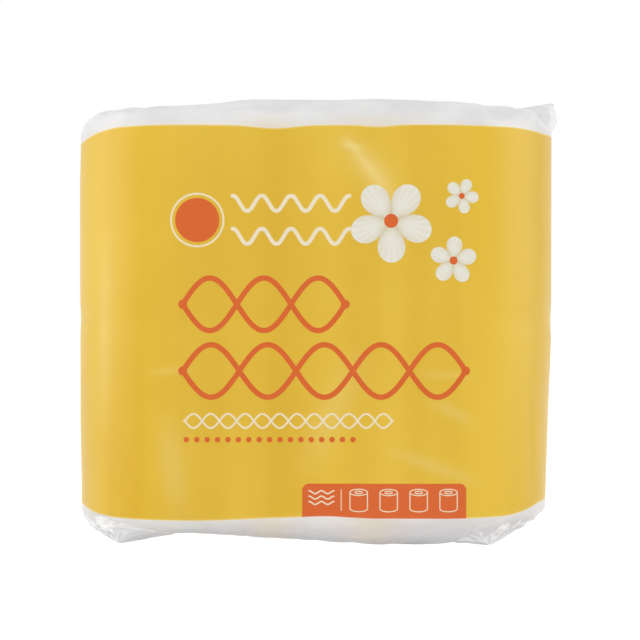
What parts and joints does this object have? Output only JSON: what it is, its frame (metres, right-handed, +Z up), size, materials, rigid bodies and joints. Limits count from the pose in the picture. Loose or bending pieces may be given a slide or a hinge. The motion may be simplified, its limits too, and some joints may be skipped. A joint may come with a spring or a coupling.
{
  "type": "toilet paper roll pack",
  "caption": "Sealed oval pack of upright toilet rolls in printed plastic film, each end gathered in over the rims and closed by folded flaps.",
  "frame": {"origin": "on the floor, under the middle of the pack", "axes": "+Z up, +X along the pack's width towards the ear of folded film, the printed front faces -Y"},
  "size_m": [0.2434, 0.1212, 0.2198],
  "materials": {
    "printed_film": "glossy polyethylene film, printed yellow round the walls and white at both ends"
  },
  "bodies": {
    "root": {"roll_pack": "printed_film"}
  },
  "joints": []
}
